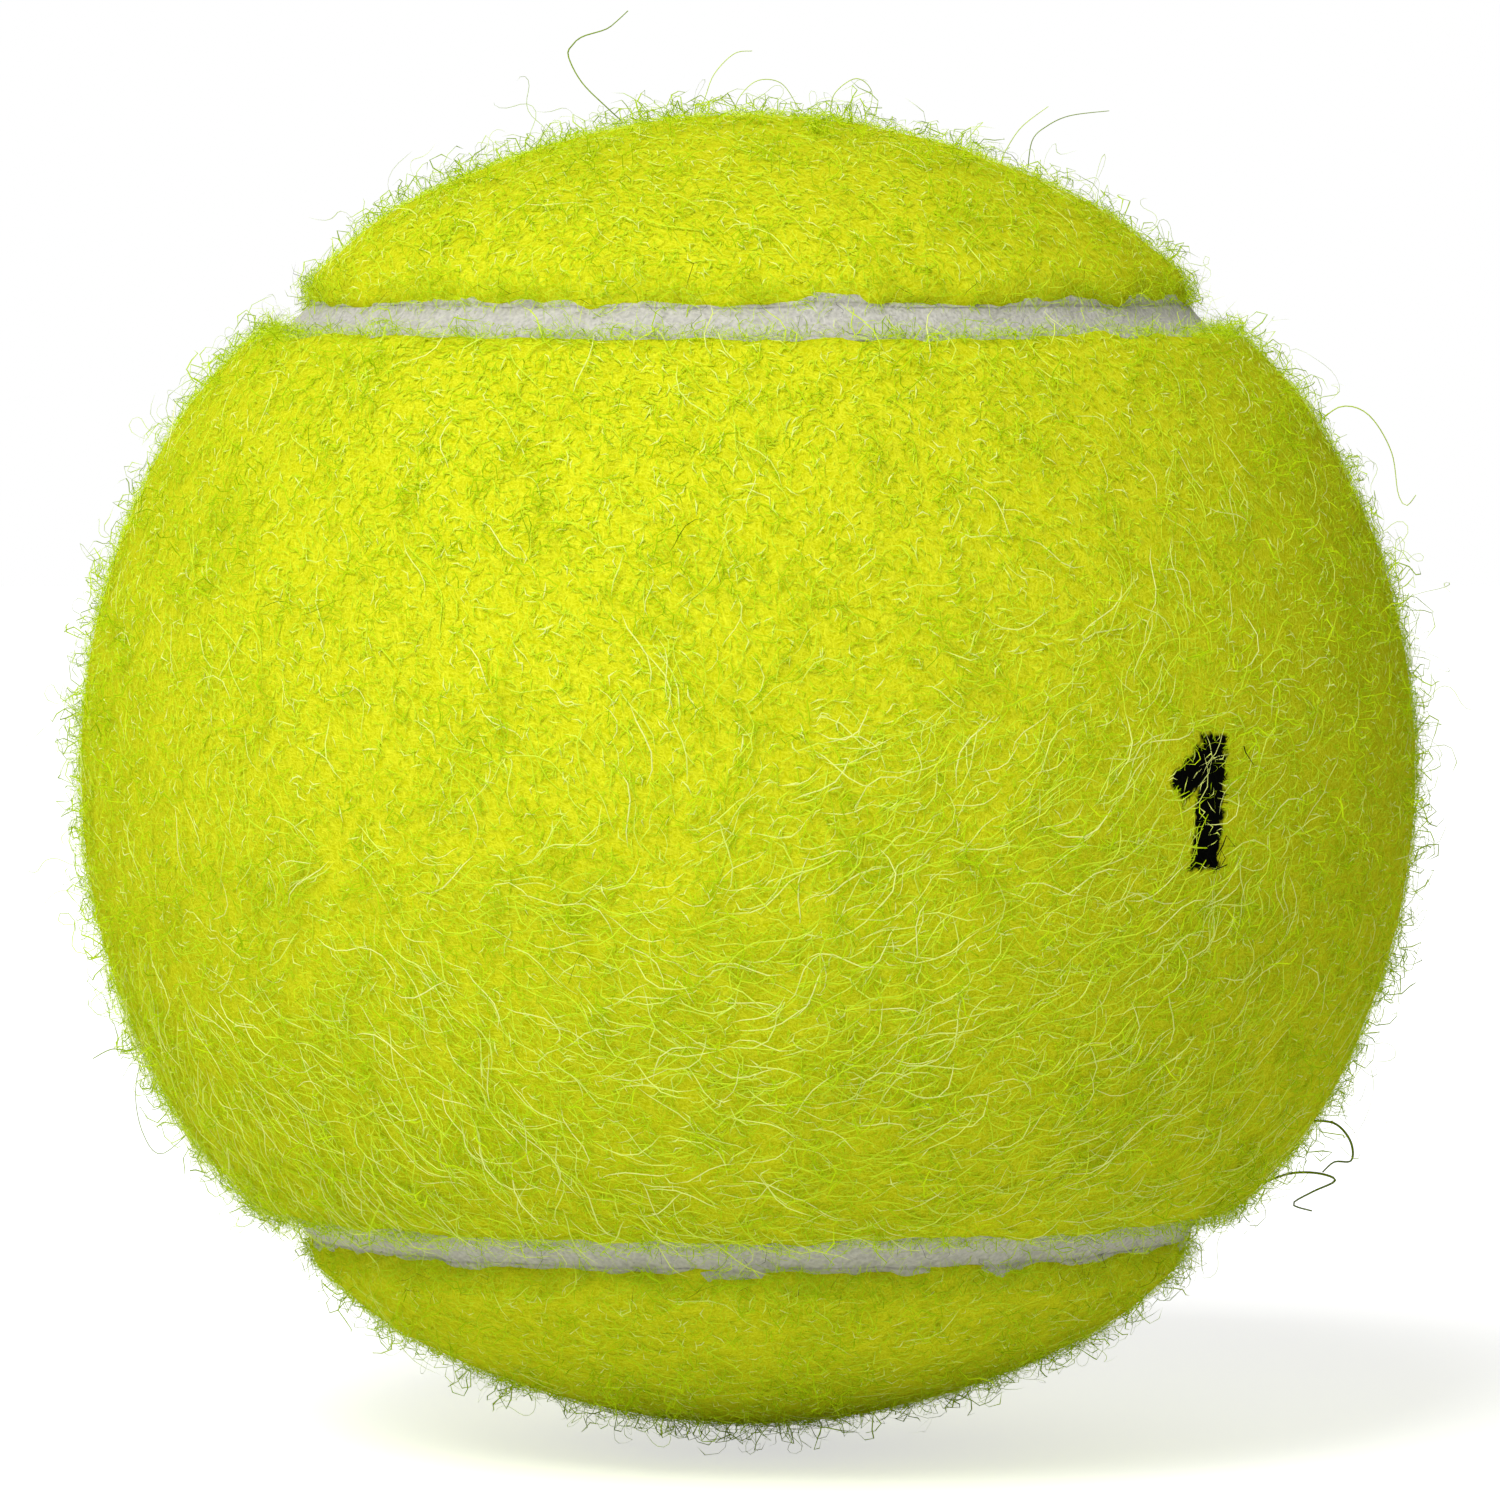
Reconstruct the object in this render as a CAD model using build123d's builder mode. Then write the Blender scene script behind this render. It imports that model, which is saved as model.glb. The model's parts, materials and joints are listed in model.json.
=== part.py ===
from build123d import *
import os
from math import asin, atan, cos, degrees, sin, sqrt

# A tennis ball, built up from the inside as it is made: two rubber half shells bonded
# into a hollow core, a film of cement, two dumbbell-shaped felt panels that wrap the
# core and interlock, and the rubber seam that closes the line between them.
# Millimetres, +Z up, origin at the centre. The waist of the front panel faces -Y.

# Driving dimensions
ball_diameter = 67.0
felt_thickness = 3.1
felt_roll_radius = 1.5  # rounding of a felt panel's outer edge
cement_thickness = 0.2
core_wall = 3.6
bond_thickness = 0.3  # the joint between the two core halves
bond_bead_radius = 0.6  # the ridge that the joint squeezes into the hollow
waist_width = 46.4  # straight across a panel's waist, from seam line to seam line
seam_width = 2.2
seam_recess = 1.6  # how far the seam lies below the face of the felt

# Radii of the layers, from the outside in
ball_radius = ball_diameter / 2
seam_radius = ball_radius - seam_recess
cement_radius = ball_radius - felt_thickness
core_radius = cement_radius - cement_thickness
hollow_radius = core_radius - core_wall

# The seam line is four equal circular arcs on the ball, end to end and tangent to each
# other. Each arc goes round one lobe, the end of a panel. The arcs meet where the line
# crosses the plane of X and Z, half way between the axes. The waist width sets how far
# the axis of each lobe leans along Y, and with it the opening of its arc.
waist_angle = asin(waist_width / ball_diameter)
lean = atan((sqrt(0.5) - sin(waist_angle)) / cos(waist_angle))
lobe_sweep = 180 + 2 * degrees(atan(sin(lean)))

upper_lobe = Vector(0, -sin(lean), cos(lean))
lower_lobe = Vector(0, -sin(lean), -cos(lean))
right_lobe = Vector(cos(lean), sin(lean), 0)
left_lobe = Vector(-cos(lean), sin(lean), 0)
upper_left_meeting = Vector(-1, 0, 1).normalized()
lower_right_meeting = Vector(1, 0, -1).normalized()
seam_arcs = [
    (upper_lobe, upper_left_meeting),
    (left_lobe, upper_left_meeting),
    (lower_lobe, lower_right_meeting),
    (right_lobe, lower_right_meeting),
]


def across_seam(lobe, start):
    """The plane that cuts the seam where a lobe's arc starts: x across it, y outwards."""
    across = (lobe - start * lobe.dot(start)).normalized()
    return Plane(origin=(0, 0, 0), x_dir=across, z_dir=across.cross(start))


# The half-plane profile of each core half, and of the joint between them, turns about Z.
with BuildPart() as core_half_upper:
    with BuildSketch(Plane.XZ):
        Circle(core_radius)
        Circle(hollow_radius, mode=Mode.SUBTRACT)
        with Locations((0, bond_thickness / 2)):
            Rectangle(core_radius, core_radius, align=Align.MIN, mode=Mode.INTERSECT)
    revolve(axis=Axis.Z)

with BuildPart() as core_half_lower:
    add(core_half_upper.part)
    mirror(about=Plane.XY, mode=Mode.REPLACE)

with BuildPart() as core_bond_ring:
    with BuildSketch(Plane.XZ):
        Circle(core_radius)
        Circle(hollow_radius, mode=Mode.SUBTRACT)
        Rectangle(
            core_radius,
            bond_thickness,
            align=(Align.MIN, Align.CENTER),
            mode=Mode.INTERSECT,
        )
    with BuildSketch(Plane.XZ):
        with Locations((hollow_radius, 0)):
            Circle(bond_bead_radius)
        Circle(hollow_radius, mode=Mode.INTERSECT)
    revolve(axis=Axis.Z)

# The gap that parts the two panels, deep enough to part their cement films too.
with BuildPart() as seam_gap:
    for lobe, start in seam_arcs:
        with BuildSketch(across_seam(lobe, start)):
            with Locations((0, hollow_radius)):
                Rectangle(seam_width, ball_radius, align=(Align.CENTER, Align.MIN))
        revolve(axis=Axis((0, 0, 0), lobe), revolution_arc=lobe_sweep)

# A sphere's own closing line is turned to the back, where it crosses no seam.
closing_line_at_back = (0, 0, 90)

# The seam rubber fills the gap, from the core up to its recess.
with BuildPart() as seam_strip:
    Sphere(seam_radius, rotation=closing_line_at_back)
    Sphere(core_radius, rotation=closing_line_at_back, mode=Mode.SUBTRACT)
    add(seam_gap.part, mode=Mode.INTERSECT)

# The front film and panel are what the gap leaves of a shell on its -Y side.
with BuildPart() as cement_film_front:
    Sphere(cement_radius, rotation=closing_line_at_back)
    Sphere(core_radius, rotation=closing_line_at_back, mode=Mode.SUBTRACT)
    add(seam_gap.part, mode=Mode.SUBTRACT)
    add(cement_film_front.solids().sort_by(Axis.Y)[0], mode=Mode.REPLACE)

with BuildPart() as felt_panel_front:
    Sphere(ball_radius, rotation=closing_line_at_back)
    Sphere(cement_radius, rotation=closing_line_at_back, mode=Mode.SUBTRACT)
    add(seam_gap.part, mode=Mode.SUBTRACT)
    add(felt_panel_front.solids().sort_by(Axis.Y)[0], mode=Mode.REPLACE)
    outer_face = felt_panel_front.faces().sort_by(SortBy.AREA)[-1]
    fillet(outer_face.edges(), felt_roll_radius)

# The back film and panel are the same shapes, turned half round to interlock.
interlock_axis = Axis((0, 0, 0), (1, 0, 1))

with BuildPart() as cement_film_back:
    add(cement_film_front.part.rotate(interlock_axis, 180))

with BuildPart() as felt_panel_back:
    add(felt_panel_front.part.rotate(interlock_axis, 180))

# One file for each piece
pieces = {
    "core_half_upper": core_half_upper,
    "core_half_lower": core_half_lower,
    "core_bond_ring": core_bond_ring,
    "cement_film_front": cement_film_front,
    "cement_film_back": cement_film_back,
    "felt_panel_front": felt_panel_front,
    "felt_panel_back": felt_panel_back,
    "seam_strip": seam_strip,
}
os.makedirs("parts", exist_ok=True)
for name, piece in pieces.items():
    piece.part.label = name
    export_step(piece.part, f"parts/{name}.step")
    print(f"{name}: {piece.part.volume:.1f} mm3")
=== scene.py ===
# %% [markdown]
# # A tennis ball, dressed in felt
#
# The solids already hold the ball's true size: a hollow rubber core, two felt panels and
# the rubber seam between them. This lesson gives them their looks. The felt is the hard
# part, because it isn't a surface but a mat of loose fibres, so most of the cells below
# grow fibres on it.

# %% Load the ball and keep its box
import json
import math
from functools import partial

import bmesh
import bpy
import numpy as np
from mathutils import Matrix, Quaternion, Vector

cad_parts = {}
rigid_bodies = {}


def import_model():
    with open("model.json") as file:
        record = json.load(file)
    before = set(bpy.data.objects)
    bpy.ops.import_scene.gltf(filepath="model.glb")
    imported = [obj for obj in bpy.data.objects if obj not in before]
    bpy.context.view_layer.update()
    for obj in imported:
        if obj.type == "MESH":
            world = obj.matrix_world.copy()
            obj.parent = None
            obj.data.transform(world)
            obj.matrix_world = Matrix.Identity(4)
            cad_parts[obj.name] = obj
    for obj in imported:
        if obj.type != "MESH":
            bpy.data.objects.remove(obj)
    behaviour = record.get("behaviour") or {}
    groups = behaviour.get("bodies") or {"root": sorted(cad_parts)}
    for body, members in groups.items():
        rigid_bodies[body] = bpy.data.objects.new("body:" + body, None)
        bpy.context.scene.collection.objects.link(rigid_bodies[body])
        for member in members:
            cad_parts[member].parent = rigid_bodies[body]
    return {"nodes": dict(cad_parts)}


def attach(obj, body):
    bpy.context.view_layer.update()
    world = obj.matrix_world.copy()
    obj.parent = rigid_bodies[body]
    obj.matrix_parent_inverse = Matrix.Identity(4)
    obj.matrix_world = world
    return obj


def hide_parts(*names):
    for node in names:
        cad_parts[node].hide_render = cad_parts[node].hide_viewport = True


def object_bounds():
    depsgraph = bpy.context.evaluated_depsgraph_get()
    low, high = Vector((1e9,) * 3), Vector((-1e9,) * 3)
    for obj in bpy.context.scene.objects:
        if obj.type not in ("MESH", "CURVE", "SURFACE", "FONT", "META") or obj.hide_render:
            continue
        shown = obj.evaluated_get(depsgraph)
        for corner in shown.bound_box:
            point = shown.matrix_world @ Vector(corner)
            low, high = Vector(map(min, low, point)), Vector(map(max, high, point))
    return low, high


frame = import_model()
cad_box = [list(corner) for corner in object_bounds()]
mm = 0.001
ball_radius = (cad_box[1][2] - cad_box[0][2]) / 2
print(f"ball radius {ball_radius / mm:.2f} mm, nodes {sorted(frame['nodes'])}")

# %% [markdown]
# ## Four small helpers
#
# Every material and every geometry tree below is wired by one function, which adds a
# node, sets it up and links it. A cell that wires a tree binds the function to that tree
# first, and calls it add. Colours are written as the hex values that a picture editor
# shows, and a second function turns them into the linear light that nodes use. A third
# puts a finished mesh in the scene, and the last stores numbers on a mesh's points.

# %% Helpers
def add_node(tree, kind, *inputs, **settings):
    """Adds a node and fills or links its inputs, in their order or, in a dict, by name.

    An input may be a value, a socket, or a node, whose first output is then linked.
    """
    node = tree.nodes.new(kind)
    for name, value in settings.items():
        setattr(node, name, value)
    in_use = [socket for socket in node.inputs if socket.enabled]
    filled = []
    for socket, value in zip(in_use, inputs):
        if isinstance(value, dict):
            for name, part in value.items():
                filled.append((next(s for s in in_use if s.name == name), part))
        else:
            filled.append((socket, value))
    for socket, value in filled:
        if isinstance(value, bpy.types.Node):
            value = next(s for s in value.outputs if s.enabled)
        if isinstance(value, bpy.types.NodeSocket):
            tree.links.new(value, socket)
        else:
            socket.default_value = value
    return node


def linear(hex_colour):
    """An sRGB hex colour as linear red, green, blue and alpha."""
    srgb = [int(hex_colour[i : i + 2], 16) / 255 for i in (1, 3, 5)]
    light = [c / 12.92 if c <= 0.04045 else ((c + 0.055) / 1.055) ** 2.4 for c in srgb]
    return (*light, 1.0)


def show(name, mesh):
    """Puts a mesh in the scene as an object at the origin."""
    piece = bpy.data.objects.new(name, mesh)
    bpy.context.scene.collection.objects.link(piece)
    return piece


def store(mesh, columns):
    """Stores named columns of numbers on a mesh, with a number for each point."""
    for name, values in columns.items():
        mesh.attributes.new(name, "FLOAT", "POINT").data.foreach_set("value", values)


print("mid grey in linear light:", round(linear("#808080")[0], 3))

# %% [markdown]
# ## Camera
#
# The seam's two lines bow apart by nearly the same amount above and below, so the picture
# was taken almost level, straight at the waist of the front panel. The lines' curve fits a
# lens about twelve ball radii away. The ball sits a little low in the picture, which a
# small lens shift gives without turning the camera.

# %% Camera
picture_side = 1500
outline_pixels = 667
centre_left_pixels = 2
centre_down_pixels = 19
camera_distance = 12 * ball_radius
camera_elevation = math.radians(2.55)

half_angle = math.asin(ball_radius / camera_distance)
focal_pixels = outline_pixels / math.tan(half_angle)
lens = bpy.data.cameras.new("camera")
lens.sensor_width = 36
lens.lens = lens.sensor_width * focal_pixels / picture_side
lens.shift_x = centre_left_pixels / picture_side
lens.shift_y = centre_down_pixels / picture_side
lens.clip_start = 10 * mm
camera = bpy.data.objects.new("camera", lens)
to_camera = Vector((0, -math.cos(camera_elevation), math.sin(camera_elevation)))
camera.location = to_camera * camera_distance
camera.rotation_euler = (math.pi / 2 - camera_elevation, 0, 0)
bpy.context.scene.collection.objects.link(camera)
bpy.context.scene.camera = camera
print(f"lens {lens.lens:.0f} mm at {camera_distance / mm:.0f} mm")

# %% [markdown]
# ## Light, floor and background
#
# One large soft lamp stands in front, above and a little to the left, and gives most of the
# light, so the ball darkens to the right and below, as in the picture. A pale surround fills
# the shadows. It is brighter in front than at the sides, which leaves the outline darker,
# dimmest on the far right, and brightest behind, where the lamp doesn't reach. The
# background is plain white to the camera only, so it adds no light. The floor glows to the
# camera for the same reason, more with distance, to run into the background, and the rest
# of its brightness comes from the lamp and the surround, so it keeps the ball's shadow.

# %% Light and background
scene = bpy.context.scene
scene.view_settings.view_transform = "Standard"
side_strength = 0.10
front_strength = 0.50
behind_from, behind_more = 0.45, 0.4
right_from, right_to, right_share = 0.4, 0.95, 0.3
key_place = (-0.20, -0.44, 0.49)
key_power = 4.02
key_side = 0.35


def camera_sees(add):
    """1 for rays that end at the camera, also by way of gloss or glass, and 0 for light."""
    path = add("ShaderNodeLightPath").outputs
    direct = add("ShaderNodeMath", path["Is Camera Ray"], path["Is Glossy Ray"], operation="MAXIMUM")
    return add("ShaderNodeMath", direct, path["Is Transmission Ray"], operation="MAXIMUM")


world = bpy.data.worlds.new("white surround")
scene.world = world
world.use_nodes = True
world.node_tree.nodes.clear()
add = partial(add_node, world.node_tree)
direction = add("ShaderNodeTexCoord").outputs["Generated"]
aim = add("ShaderNodeSeparateXYZ", direction).outputs
front_or_back = add("ShaderNodeMath", aim["Y"], operation="ABSOLUTE")
pale = add(
    "ShaderNodeMapRange", {"Value": front_or_back, "To Min": side_strength, "To Max": front_strength}
)
behind = add("ShaderNodeMapRange", {"Value": aim["Y"], "From Min": behind_from, "To Max": behind_more})
both = add("ShaderNodeMath", pale, behind, operation="ADD")
less_right = add(
    "ShaderNodeMapRange",
    {"Value": aim["X"], "From Min": right_from, "From Max": right_to, "To Min": 1.0, "To Max": right_share},
)
strength = add("ShaderNodeMath", both, less_right, operation="MULTIPLY")
white = (1, 1, 1, 1)
lights_up = add("ShaderNodeBackground", {"Color": white, "Strength": strength})
looks_white = add("ShaderNodeBackground", {"Color": white, "Strength": 1.0})
either = add("ShaderNodeMixShader", camera_sees(add), lights_up, looks_white)
add("ShaderNodeOutputWorld", {"Surface": either})

lamp = bpy.data.lights.new("key lamp", "AREA")
lamp.energy = key_power
lamp.size = key_side
key = bpy.data.objects.new("key lamp", lamp)
key.location = key_place
key.rotation_euler = (-key.location).to_track_quat("-Z", "Y").to_euler()
scene.collection.objects.link(key)
print(f"key lamp {key_power} W at {key.location.length:.2f} m")

# %% Floor
nap_height = 0.8 * mm
floor_z = -ball_radius - nap_height
floor_reach = 2.0
near_glow, far_glow = 0.62, 0.85
glow_from, glow_to = 0.06, 0.4


def new_material(name):
    """An empty node material."""
    material = bpy.data.materials.new(name)
    material.use_nodes = True
    material.node_tree.nodes.clear()
    return material


def end_material(add, looks):
    """Ends a material with a shader that has the looks given."""
    shader = add("ShaderNodeBsdfPrincipled", looks)
    add("ShaderNodeOutputMaterial", {"Surface": shader})


floor_paint = new_material("white paper floor")
add = partial(add_node, floor_paint.node_tree)
paper = add("ShaderNodeBsdfDiffuse", {"Color": linear("#F4F4F4")})
spot = add("ShaderNodeTexCoord").outputs["Object"]
away = add("ShaderNodeVectorMath", spot, operation="LENGTH")
glow_here = add(
    "ShaderNodeMapRange",
    {"Value": away, "From Min": glow_from, "From Max": glow_to, "To Min": near_glow, "To Max": far_glow},
)
glow_share = add("ShaderNodeMath", camera_sees(add), glow_here, operation="MULTIPLY")
glow = add("ShaderNodeEmission", {"Color": white, "Strength": glow_share})
lit_paper = add("ShaderNodeAddShader", paper, glow)
add("ShaderNodeOutputMaterial", {"Surface": lit_paper})

floor_mesh = bpy.data.meshes.new("floor")
corners = [(-1, -1), (1, -1), (1, 1), (-1, 1)]
floor_mesh.from_pydata(
    [(x * floor_reach, y * floor_reach, floor_z) for x, y in corners], [], [(0, 1, 2, 3)]
)
floor_mesh.materials.append(floor_paint)
floor = show("floor", floor_mesh)
print(f"floor at {floor_z / mm:.1f} mm")

# %% [markdown]
# ## The printed number
#
# Balls carry a plain number so that players can tell theirs apart. It is stamped in black
# ink on the nap. The same few nodes draw it for the felt, where a material reads them,
# and for the fibres, where a geometry tree does, so both agree on where the ink lies. A
# point's longitude and height serve as its place on a flat stamp, and the 1 is two bars.

# %% Where the ink lies
digit_longitude = math.radians(40.7)
digit_middle_z = -0.45 * mm
digit_height = 6.4 * mm
digit_stroke = 1.75 * mm
digit_flag_length = 2.9 * mm
digit_flag_slope = math.radians(40)
digit_flag_drop = 0.45 * digit_stroke
digit_flag_half = 0.42 * digit_stroke
digit_lean = math.radians(5)
ink_bleed = 0.22 * mm
ink_fray = 0.5 * mm


def bar(add, spot, middle, half_size, turn):
    """How far a spot on the stamp lies outside a turned bar, and below 0 inside it."""
    straight = add(
        "ShaderNodeVectorRotate",
        {"Vector": spot, "Center": (*middle, 0), "Angle": -turn},
        rotation_type="Z_AXIS",
    )
    centred = add("ShaderNodeVectorMath", straight, (*middle, 0), operation="SUBTRACT")
    folded = add("ShaderNodeVectorMath", centred, operation="ABSOLUTE")
    past = add("ShaderNodeVectorMath", folded, (*half_size, 0), operation="SUBTRACT")
    xyz = add("ShaderNodeSeparateXYZ", past).outputs
    return add("ShaderNodeMath", xyz["X"], xyz["Y"], operation="MAXIMUM")


def ink_share(add, place):
    """1 where the number is inked and 0 elsewhere, with an edge that bleeds unevenly."""
    xyz = add("ShaderNodeSeparateXYZ", place).outputs
    ahead = add("ShaderNodeMath", xyz["Y"], -1.0, operation="MULTIPLY")
    longitude = add("ShaderNodeMath", xyz["X"], ahead, operation="ARCTAN2")
    to_digit = -digit_longitude * ball_radius
    across = add("ShaderNodeMath", longitude, ball_radius, to_digit, operation="MULTIPLY_ADD")
    up = add("ShaderNodeMath", xyz["Z"], digit_middle_z, operation="SUBTRACT")
    spot = add("ShaderNodeCombineXYZ", {"X": across, "Y": up})
    half_stem = (digit_height / 2, digit_stroke / 2)
    stem = bar(add, spot, (0, 0), half_stem, math.pi / 2 - digit_lean)
    reach = digit_flag_length / 2
    flag_top = digit_height / 2 - digit_flag_drop
    flag_middle = (-reach * math.cos(digit_flag_slope), flag_top - reach * math.sin(digit_flag_slope))
    flag = bar(add, spot, flag_middle, (reach, digit_flag_half), digit_flag_slope)
    outside = add("ShaderNodeMath", stem, flag, operation="MINIMUM")
    frayed = add("ShaderNodeTexNoise", {"Vector": place, "Scale": 1 / ink_fray})
    fray = add("ShaderNodeMath", frayed, 0.5, operation="SUBTRACT")
    bled = add("ShaderNodeMath", fray, 4 * ink_bleed, outside, operation="MULTIPLY_ADD")
    share = add(
        "ShaderNodeMapRange", {"Value": bled, "From Min": ink_bleed / 2, "From Max": -ink_bleed / 2}
    )
    in_front = add("ShaderNodeMath", ahead, 0.0, operation="GREATER_THAN")
    return add("ShaderNodeMath", share, in_front, operation="MULTIPLY")


print(f"number {digit_height / mm:.1f} mm high, strokes {digit_stroke / mm:.2f} mm wide")

# %% [markdown]
# ## Felt, under the nap
#
# Tennis felt is wool and nylon, woven, then brushed and shrunk until the weave is lost in
# a mat. Light sinks in and comes out more yellow, so the mat under the loose fibres is lime.
# Its pits between the strokes are painted a deeper gold, which is partly painted shade, and
# their colour varies in blotches a few millimetres wide. Noise that is drawn out in
# four directions gives the strokes of the matted fibres, and the brightest of the four lies
# on top. The bump lifts the strokes, and the lack of gloss keeps the mat looking soft.

# %% Felt material
ink_colour = "#0B0C0A"
blotch_size = 5 * mm
bend_size, bend_reach = 0.9 * mm, 0.4 * mm
stroke_width, stroke_length = 0.1 * mm, 0.7 * mm
stroke_turns = ((0.4, 0.2, 0.0), (1.3, -0.5, 0.3), (0.3, 1.2, 0.8), (1.5, 0.9, -0.6))

felt = new_material("napped wool felt")
add = partial(add_node, felt.node_tree)
place = add("ShaderNodeTexCoord").outputs["Object"]
blotches = add("ShaderNodeTexNoise", {"Vector": place, "Scale": 1 / blotch_size, "Detail": 3.0})
bends = add("ShaderNodeTexNoise", {"Vector": place, "Scale": 1 / bend_size})
bent = add(
    "ShaderNodeVectorMath", bends.outputs["Color"], (bend_reach,) * 3, place, operation="MULTIPLY_ADD"
)
matted = 0.0
stroke_fineness = (1 / stroke_width, 1 / stroke_width, 1 / stroke_length)
for turn in stroke_turns:
    turned = add(
        "ShaderNodeVectorRotate", {"Vector": bent, "Rotation": turn}, rotation_type="EULER_XYZ"
    )
    drawn_out = add("ShaderNodeVectorMath", turned, stroke_fineness, operation="MULTIPLY")
    strokes = add("ShaderNodeTexNoise", {"Vector": drawn_out, "Scale": 1.0, "Detail": 1.0})
    matted = add("ShaderNodeMath", strokes, matted, operation="MAXIMUM")
# Painted shade: the pits between the strokes are a deeper gold than the stroke tops.
painted_shade_pits = add("ShaderNodeMix", blotches, linear("#BEC206"), linear("#CED00A"), data_type="RGBA")
fibre_tops = add("ShaderNodeMapRange", {"Value": matted, "From Min": 0.48, "From Max": 0.76})
mat_colour = add("ShaderNodeMix", fibre_tops, painted_shade_pits, linear("#E8EC2E"), data_type="RGBA")
inked = add("ShaderNodeMix", ink_share(add, place), mat_colour, linear(ink_colour), data_type="RGBA")
nap_bump = add("ShaderNodeBump", {"Height": matted, "Strength": 0.5, "Distance": 0.12 * mm})
end_material(
    add, {"Base Color": inked, "Roughness": 0.95, "Normal": nap_bump, "Specular IOR Level": 0.0}
)
print("made", felt.name)

# %% [markdown]
# ## Loose fibres
#
# A single wool fibre is clearer than the mat, lime to pale lemon, and the palest fibres
# stand in partly for glints, a painted highlight. A painted shade darkens each fibre towards
# its root, and it is black where the stamp touched it. Each fibre carries a map of
# its own. Its length runs along the map and its shade runs up it, so that one small chart
# of shades colours them all: ink at the bottom, then olive, lime, lemon and nearly white.
# The painted shade at the root gives the nap its depth.

# %% Fibre material
shade_map = "OFBake"
ink_row = 0.03
row_height = 0.03
fibre = new_material("dyed wool fibre")
add = partial(add_node, fibre.node_tree)
chart = add("ShaderNodeUVMap", uv_map=shade_map)
on_chart = add("ShaderNodeSeparateXYZ", chart).outputs
shades = add("ShaderNodeValToRGB", {"Fac": on_chart["Y"]})
stops = [(0.06, ink_colour), (0.10, "#AACC0C"), (0.45, "#C8E41A"), (0.80, "#DAF23A"), (1.00, "#F2FA96")]
for at, colour in stops[2:]:
    shades.color_ramp.elements.new(at)
for element, (at, colour) in zip(shades.color_ramp.elements, stops):
    element.position = at
    element.color = linear(colour)
# Painted shade: each fibre's colour darkens towards its root.
painted_root_shade = add("ShaderNodeMapRange", {"Value": on_chart["X"], "From Max": 0.6, "To Min": 0.94})
colour_with_painted_root_shade = add("ShaderNodeMix", 1.0, shades, painted_root_shade, data_type="RGBA", blend_type="MULTIPLY")
end_material(add, {"Base Color": colour_with_painted_root_shade, "Roughness": 0.6, "Specular IOR Level": 0.0})
print(f"made {fibre.name} with {len(stops)} shades")

# %% [markdown]
# ## Seam rubber
#
# The seam is a light grey rubber paste that was painted on the cut edges of the felt and
# cured with the ball. It is matt and a little lumpy. The stains, the fine grit and the dust
# specks keep so plain a grey from looking like plastic.

# %% Seam rubber material
seam_rubber = new_material("cured seam rubber")
add = partial(add_node, seam_rubber.node_tree)
place = add("ShaderNodeTexCoord").outputs["Object"]
stains, specks, grit = [
    add("ShaderNodeTexNoise", {"Vector": place, "Scale": 1 / size, "Detail": detail})
    for size, detail in ((2.5 * mm, 4.0), (0.3 * mm, 1.0), (0.22 * mm, 2.0))
]
dry_and_wet = add("ShaderNodeMix", stains, linear("#BEBAB4"), linear("#D2CFCA"), data_type="RGBA")
gritty = add(
    "ShaderNodeMapRange",
    {"Value": grit, "From Min": 0.3, "From Max": 0.7, "To Min": 0.78, "To Max": 1.1},
)
paste = add("ShaderNodeMix", 1.0, dry_and_wet, gritty, data_type="RGBA", blend_type="MULTIPLY")
speck_share = add(
    "ShaderNodeMapRange", {"Value": specks, "From Min": 0.68, "From Max": 0.76, "To Max": 0.5}
)
specked = add("ShaderNodeMix", speck_share, paste, linear("#8E8A80"), data_type="RGBA")
skin = add("ShaderNodeBump", {"Height": grit, "Strength": 0.9, "Distance": 0.12 * mm})
end_material(add, {"Base Color": specked, "Roughness": 0.75, "Normal": skin})
print("made", seam_rubber.name)

# %% [markdown]
# ## Core rubber, bonding rubber and cement
#
# These are hidden in a whole ball, but they are real pieces and show when it is taken
# apart: a dark moulded core with a fine grit from its mould, a blacker ring where the two
# halves were bonded, and a film of dried yellowish cement. Each is one mottled rubber with
# a grain of its own, which also bumps its surface.

# %% Materials of the hidden pieces
def hidden_rubber(name, dark, pale, grain_size, roughness):
    """Rubber with blotches of two colours and a bump, both of one grain size."""
    material = new_material(name)
    add = partial(add_node, material.node_tree)
    place = add("ShaderNodeTexCoord").outputs["Object"]
    mottle = add("ShaderNodeTexNoise", {"Vector": place, "Scale": 1 / grain_size, "Detail": 5.0})
    colour = add("ShaderNodeMix", mottle, linear(dark), linear(pale), data_type="RGBA")
    grit = add("ShaderNodeBump", {"Height": mottle, "Strength": 0.3, "Distance": grain_size / 10})
    end_material(add, {"Base Color": colour, "Roughness": roughness, "Normal": grit})
    return material


hidden = {
    "core_half": ("moulded core rubber", "#33302D", "#4A4641", 1.5 * mm, 0.8),
    "core_bond_ring": ("bonding rubber", "#1E1C1A", "#2B2825", 0.8 * mm, 0.55),
    "cement_film": ("dried rubber cement", "#B09A68", "#CDBB8C", 2.5 * mm, 0.5),
}
for start, look in hidden.items():
    rubber = hidden_rubber(*look)
    wearers = [node for node in frame["nodes"] if node.startswith(start)]
    for node in wearers:
        for slot in frame["nodes"][node].material_slots:
            slot.material = rubber
    print(f"{rubber.name} on {', '.join(wearers)}")

# %% [markdown]
# ## Felt panels
#
# Each panel starts as a copy of its solid, so its size and its rolled edge are right. A
# voxel remesh gives it even, fine faces. A geometry tree then makes it look felted: low
# clumps all over, a dip towards the seam, where the felt was pulled down, and an edge that
# wanders, because cut felt frays. The caps are pressed a little flat, as the picture's
# outline shows.

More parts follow.
